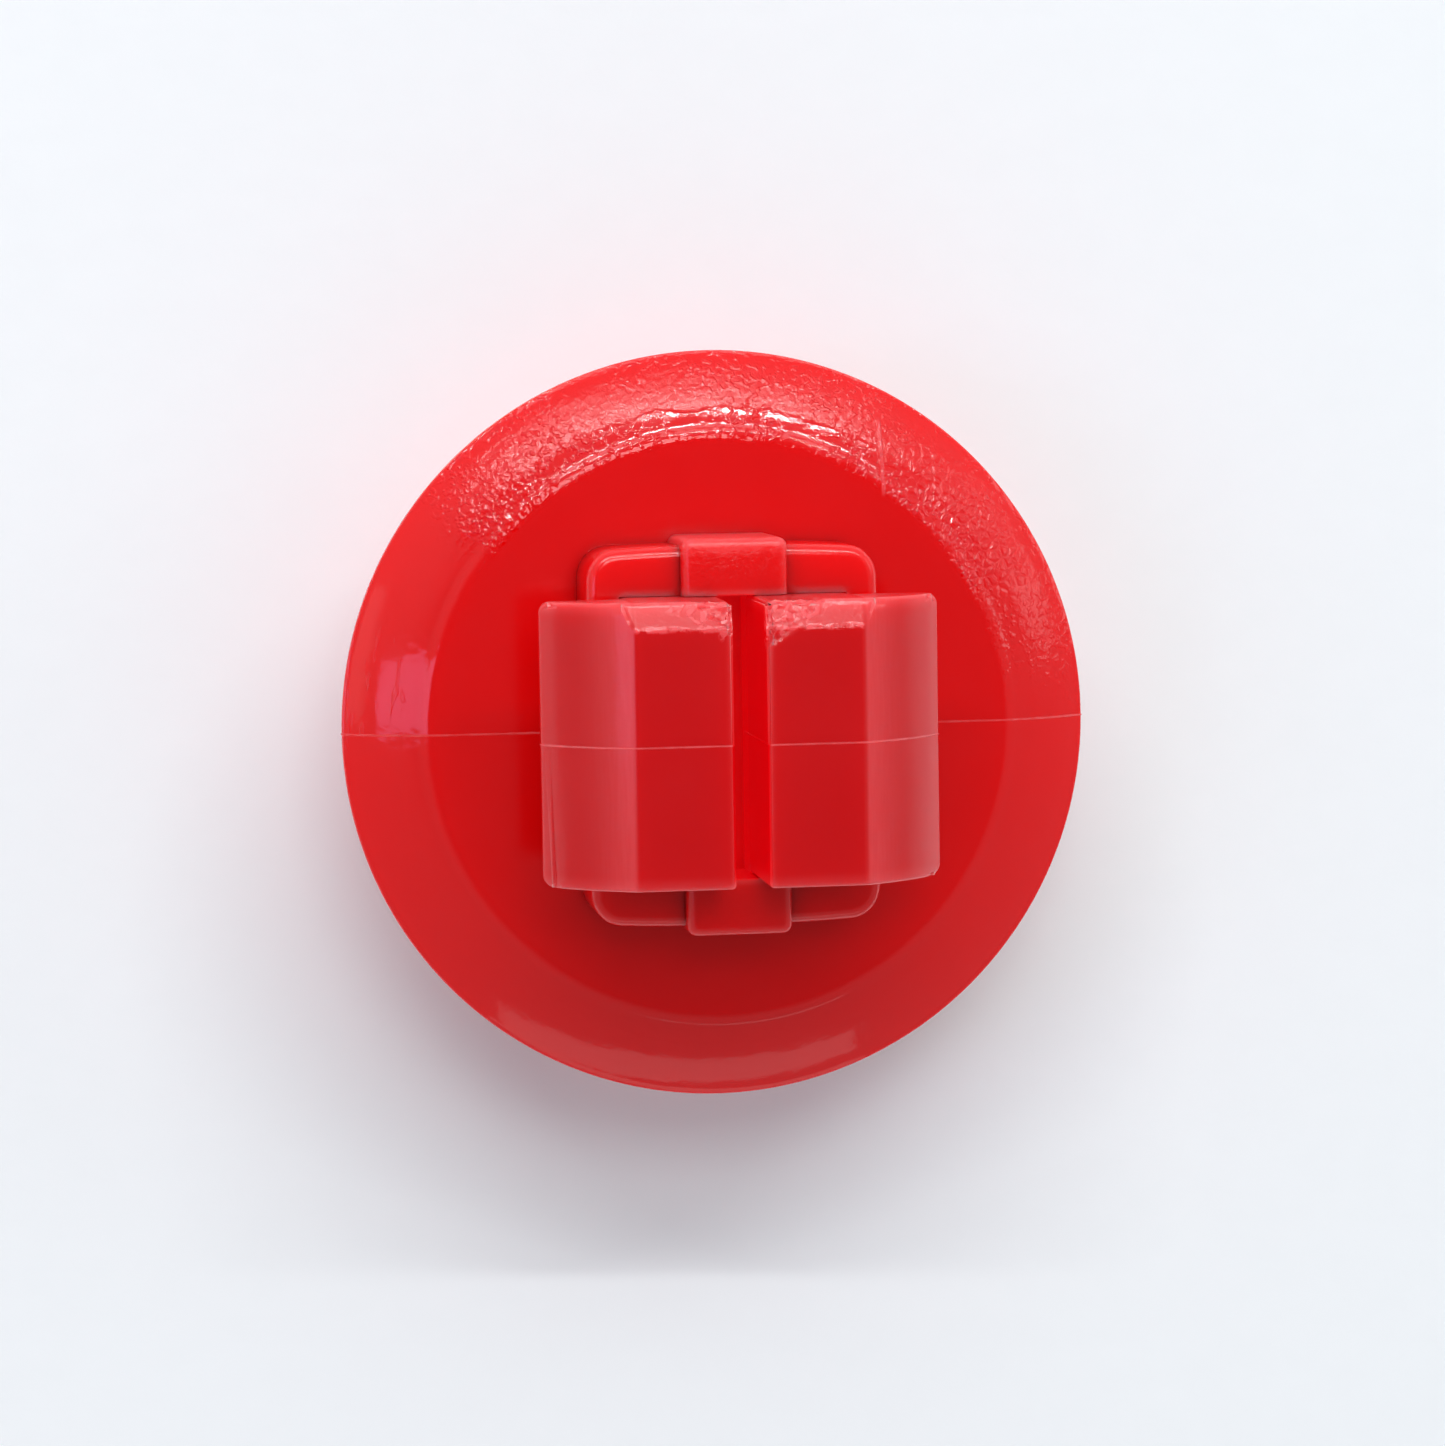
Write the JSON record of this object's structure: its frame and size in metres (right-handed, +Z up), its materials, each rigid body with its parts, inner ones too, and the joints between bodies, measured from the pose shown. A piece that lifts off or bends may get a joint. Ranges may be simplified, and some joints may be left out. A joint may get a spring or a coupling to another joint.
{
  "type": "quiz buzzer button",
  "caption": "Moulded red thumb button with a bevelled flange, a guide block and a split snap stem whose barbed legs spring together to pass through a panel.",
  "frame": {"origin": "centre of the flange's flat seat, on the button's axis", "axes": "+Z up the stem from the seat to the leg tips, +X across the slot to the right leg, +Y along the slot; the mould's parting plane is Y = 0"},
  "size_m": [0.024, 0.024, 0.016],
  "materials": {
    "pad_plastic": "smooth moulded red polyethylene",
    "flange_plastic": "smooth moulded red polyethylene with a slightly leathery bevel",
    "block_plastic": "moulded red polyethylene with paler rounded edges",
    "leg_plastic": "satin moulded red polyethylene, paler where it is thin"
  },
  "bodies": {
    "button": {"thumb_pad": "pad_plastic", "flange": "flange_plastic", "left_shoulder": "block_plastic", "right_shoulder": "block_plastic", "centre_rib": "block_plastic", "front_post": "block_plastic", "rear_post": "block_plastic"},
    "left_leg": {"left_leg_root": "leg_plastic", "left_leg": "leg_plastic", "left_barb": "leg_plastic"},
    "right_leg": {"right_leg_root": "leg_plastic", "right_leg": "leg_plastic", "right_barb": "leg_plastic"}
  },
  "joints": [
    {"name": "left_leg_bend", "type": "hinge", "parent": "button", "child": "left_leg", "pos_m": [-0.00203, 0, 0.00305], "axis": [0, 1, 0], "range_deg": [0, 8], "stiffness_Nm_per_rad": 0.2},
    {"name": "right_leg_bend", "type": "hinge", "parent": "button", "child": "right_leg", "pos_m": [0.00203, 0, 0.00305], "axis": [0, -1, 0], "range_deg": [0, 8], "stiffness_Nm_per_rad": 0.2}
  ]
}
